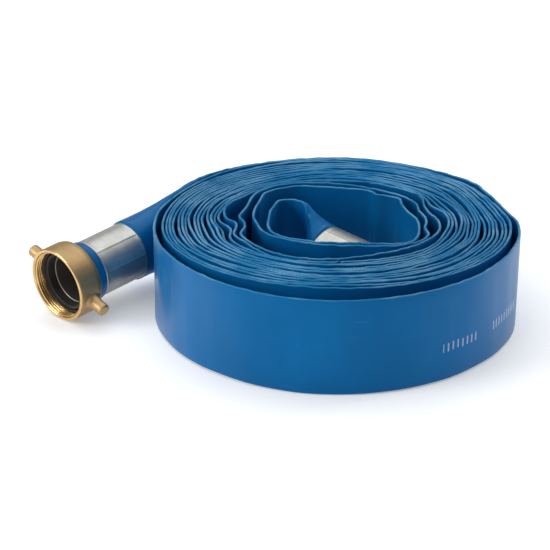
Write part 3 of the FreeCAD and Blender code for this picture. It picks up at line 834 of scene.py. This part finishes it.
def hose_material(finishes):
    """Extruded PVC: deep blue skin, paler folds (partly stress whitening, partly a painted highlight) with
    painted glint patches, yarn showing through, plain bars.
    """
    material, n, shader, coordinates = new_material("Blue hose skin")
    place, along = coordinates.outputs["Object"], coordinates.outputs["UV"]
    fold = n.add("Attribute", attribute_name="fold").outputs["Fac"]
    mottle = n.placed(shared("Mottle", mottle_group), Vector=place, Drift_Scale=9.0, Speckle_Scale=700.0)
    scuffs = n.placed(shared("Scuffs", scuff_group), Vector=place, Scale=42.0, Amount=0.18)
    yarn = n.placed(shared("Yarn Relief", yarn_group), Vector=along, Spacing=0.0024)
    base = n.mix(mottle.outputs["Drift"], [c * 0.86 for c in finishes.hose],
                 [min(1, c * 1.14) for c in finishes.hose])
    # Paler fold crests, broken by the yarn dots: partly stress whitening, partly a painted highlight.
    edge = n.maths("MULTIPLY", fold, n.maths("MULTIPLY_ADD", yarn.outputs["Dots"], 0.45, 0.5), clamp=True)
    # Painted highlight: noise picks irregular glint patches on the crests.
    glint_patches = n.between(n.noise(place, 30.0, 3.0), 0.42, 0.62)
    base = n.mix(edge, base, n.mix(glint_patches, [c * 0.8 for c in finishes.hose_fold], finishes.hose_fold_glint))
    base = n.mix(n.maths("MULTIPLY", scuffs.outputs[0], 0.5), base, (0.25, 0.4, 0.55))
    bars = print_bars(n, along)
    base = n.mix(n.maths("MULTIPLY", bars, 0.42), base, (0.75, 0.8, 0.85))
    n.feed(shader.inputs["Base Color"], base)
    rough = n.maths("MULTIPLY_ADD", mottle.outputs["Drift"], 0.06, 0.3)
    rough = n.maths("MULTIPLY_ADD", fold, 0.12, rough)
    rough = n.maths("MULTIPLY_ADD", scuffs.outputs[0], 0.3, rough)
    n.feed(shader.inputs["Roughness"], rough)
    shader.inputs["Specular IOR Level"].default_value = 0.5
    shader.inputs["Specular Tint"].default_value = (0.12, 0.5, 1.0, 1.0)
    relief = n.maths("ADD", n.maths("MULTIPLY", yarn.outputs["Height"], n.maths("MULTIPLY_ADD", fold, 1.6, 0.16)),
                     n.maths("MULTIPLY", mottle.outputs["Speckle"], 0.08))
    bumped(n, shader, relief, 0.5, 0.00035)
    return material


def print_bars(n, along):
    """Mask of plain printed bars: two rows of short strokes on the outermost turn's face."""
    parts = n.add("SeparateXYZ")
    n.feed(parts.inputs[0], along)
    u, v = parts.outputs[0], parts.outputs[1]
    share = n.maths("FRACT", n.maths("DIVIDE", u, 0.0052))
    stroke = n.maths("LESS_THAN", share, 0.3)
    rows = n.maths("ADD", n.maths("COMPARE", u, 0.725, 0.0195),
                   n.maths("COMPARE", u, 0.660, 0.0260))
    height = n.maths("COMPARE", v, 0.158, 0.0038)
    return n.maths("MULTIPLY", n.maths("MULTIPLY", rows, stroke), height)


def metal_material(name, tint, dark, rough, grain_scale, grain_depth, scuff):
    """Metal with a slow drift of tint, grime in its grain and light scuffs."""
    material, n, shader, coordinates = new_material(name)
    place = coordinates.outputs["Object"]
    mottle = n.placed(shared("Mottle", mottle_group), Vector=place, Drift_Scale=70.0, Speckle_Scale=grain_scale)
    scuffs = n.placed(shared("Scuffs", scuff_group), Vector=place, Scale=160.0, Amount=scuff)
    grain = n.placed(shared("Cast Grain", grain_group), Vector=place, Scale=grain_scale)
    base = n.mix(n.maths("MULTIPLY", mottle.outputs["Drift"], 0.5), tint, dark)
    base = n.mix(n.maths("MULTIPLY", scuffs.outputs[0], 0.6), base, [min(1, c * 1.35) for c in tint])
    n.feed(shader.inputs["Base Color"], base)
    shader.inputs["Metallic"].default_value = 1.0
    n.feed(shader.inputs["Roughness"], n.maths("MULTIPLY_ADD", mottle.outputs["Speckle"], 0.1, rough - 0.05))
    bumped(n, shader, grain.outputs[0], 0.6, grain_depth)
    return material


def rubber_material(finishes):
    """Black rubber with a slow drift of tone and a fine moulded grain."""
    material, n, shader, coordinates = new_material("Gasket rubber")
    place = coordinates.outputs["Object"]
    mottle = n.placed(shared("Mottle", mottle_group), Vector=place, Drift_Scale=90.0, Speckle_Scale=1500.0)
    base = n.mix(mottle.outputs["Drift"], finishes.rubber, [c * 1.9 for c in finishes.rubber])
    n.feed(shader.inputs["Base Color"], base)
    n.feed(shader.inputs["Roughness"], n.maths("MULTIPLY_ADD", mottle.outputs["Speckle"], 0.12, 0.5))
    bumped(n, shader, mottle.outputs["Speckle"], 0.4, 0.0001)
    return material


# --- operators --------------------------------------------------------------------------
class HOSE_OT_hose(bpy.types.Operator):
    """Build the hose: one closed skin along the roll's line"""
    bl_idname = "hose.build_hose"
    bl_label = "Hose"

    def execute(self, context):
        hose, couplings = sizes()
        hose_piece(hose, couplings, [hose_material(context.scene.hose_finishes)])
        return {"FINISHED"}


class HOSE_OT_ferrules(bpy.types.Operator):
    """Build the two crimped ferrules"""
    bl_idname = "hose.build_ferrules"
    bl_label = "Ferrules"

    def execute(self, context):
        couplings = sizes()[1]
        zinc = context.scene.hose_finishes.zinc
        plate = metal_material("Zinc plate", zinc, [c * 0.62 for c in zinc], 0.42, 420.0, 0.0002, 0.8)
        outer_start = couplings.nut_length + 1 + couplings.end_ring
        inner_start = couplings.shoulder + couplings.end_ring
        ferrule_piece("outer_sleeve", "outer_ferrule", outer_start, OUTER_FACE, OUTER_AXES,
                      couplings, [plate])
        ferrule_piece("inner_sleeve", "inner_ferrule", inner_start, INNER_FACE, INNER_AXES,
                      couplings, [plate])
        return {"FINISHED"}


class HOSE_OT_couplings(bpy.types.Operator):
    """Build the swivel nut, its gasket and both shanks"""
    bl_idname = "hose.build_couplings"
    bl_label = "Couplings"

    def execute(self, context):
        couplings = sizes()[1]
        f = context.scene.hose_finishes
        cast = metal_material("Tumbled brass", f.brass, [c * 0.72 for c in f.brass], 0.5, 1100.0, 0.0003, 0.5)
        cut = metal_material("Cut brass", f.cut_brass, [c * 0.7 for c in f.cut_brass], 0.2, 1500.0, 0.00005, 0.3)
        steel = metal_material("Turned steel", f.steel, [c * 0.6 for c in f.steel], 0.48, 900.0, 0.00008, 0.4)
        nut_piece(couplings, [cast, cut])
        gasket_piece(couplings, [rubber_material(f)])
        shank_piece(couplings, [steel])
        male_piece(couplings, [steel])
        return {"FINISHED"}


class HOSE_OT_stage(bpy.types.Operator):
    """Set the pale floor, the soft lights and the camera"""
    bl_idname = "hose.build_stage"
    bl_label = "Stage"

    def execute(self, context):
        scene = context.scene
        scene.view_settings.view_transform = "Standard"
        axis = Vector(ROLL_AXIS * MM)
        mesh = bpy.data.meshes.new("floor")
        reach = 6.0
        corners = [(-reach, -reach, 0), (reach, -reach, 0), (reach, reach, 0), (-reach, reach, 0)]
        mesh.from_pydata(corners, [], [(0, 1, 2, 3)])
        floor = bpy.data.objects.new("floor", mesh)
        floor.location.z = -0.0002
        scene.collection.objects.link(floor)
        material, n, shader, _ = new_material("Pale floor")
        shader.inputs["Base Color"].default_value = (*scene.hose_finishes.floor, 1)
        shader.inputs["Roughness"].default_value = 0.55
        shader.inputs["Emission Color"].default_value = (1, 1, 1, 1)
        shader.inputs["Emission Strength"].default_value = 0.24
        mesh.materials.append(material)

        world = bpy.data.worlds.new("Studio")
        world.use_nodes = True
        world.node_tree.nodes["Background"].inputs[0].default_value = (1.0, 1.0, 1.0, 1)
        world.node_tree.nodes["Background"].inputs[1].default_value = 0.33
        scene.world = world

        def panel(name, at, watts, width, height):
            light = bpy.data.lights.new(name, "AREA")
            light.shape, light.size, light.size_y, light.energy = "RECTANGLE", width, height, watts
            lamp = bpy.data.objects.new(name, light)
            at = Vector(at) + axis
            toward = (axis - at).to_track_quat("-Z", "Y").to_matrix().to_4x4()
            lamp.matrix_world = Matrix.Translation(at) @ toward
            scene.collection.objects.link(lamp)

        panel("overhead", (-0.2, 0.5, 2.0), 36, 3.0, 2.8)
        panel("right_strip", (1.5, 0.6, 0.45), 8, 0.4, 0.9)
        panel("left_fill", (-1.6, -0.55, 0.75), 16, 0.8, 0.8)

        lens = bpy.data.cameras.new("camera")
        lens.sensor_width, lens.lens = 36.0, 130.9
        lens.clip_start, lens.clip_end = 0.05, 30
        camera = bpy.data.objects.new("camera", lens)
        camera.rotation_euler = (math.radians(90 - 24.25), 0, 0)
        camera.location = axis + Vector((-0.0522, -1.5984, 0.7552))
        scene.collection.objects.link(camera)
        scene.camera = camera
        return {"FINISHED"}


OPERATORS = (HOSE_OT_hose, HOSE_OT_ferrules, HOSE_OT_couplings, HOSE_OT_stage)


class HOSE_PT_panel(bpy.types.Panel):
    """Sizes, finishes and the operators that build the hose"""
    bl_label = "Rolled hose"
    bl_idname = "HOSE_PT_panel"
    bl_space_type = "VIEW_3D"
    bl_region_type = "UI"
    bl_category = "Hose"

    def draw(self, context):
        scene = context.scene
        for group in (scene.hose_sizes, scene.coupling_sizes, scene.hose_finishes):
            box = self.layout.box()
            for name in type(group).__annotations__:
                box.prop(group, name)
        for operator in OPERATORS:
            self.layout.operator(operator.bl_idname)


PROPERTIES = (("hose_sizes", HoseSizes), ("coupling_sizes", CouplingSizes), ("hose_finishes", Finishes))


def register():
    for kind in (*(group for _, group in PROPERTIES), *OPERATORS, HOSE_PT_panel):
        bpy.utils.register_class(kind)
    for name, group in PROPERTIES:
        setattr(bpy.types.Scene, name, bpy.props.PointerProperty(type=group))


def unregister():
    for name, _ in PROPERTIES:
        delattr(bpy.types.Scene, name)
    for kind in (HOSE_PT_panel, *reversed(OPERATORS), *(group for _, group in PROPERTIES)):
        bpy.utils.unregister_class(kind)


def main():
    register()
    for operator in OPERATORS:
        group, name = operator.bl_idname.split(".")
        getattr(getattr(bpy.ops, group), name)()


if __name__ == "__main__":
    main()
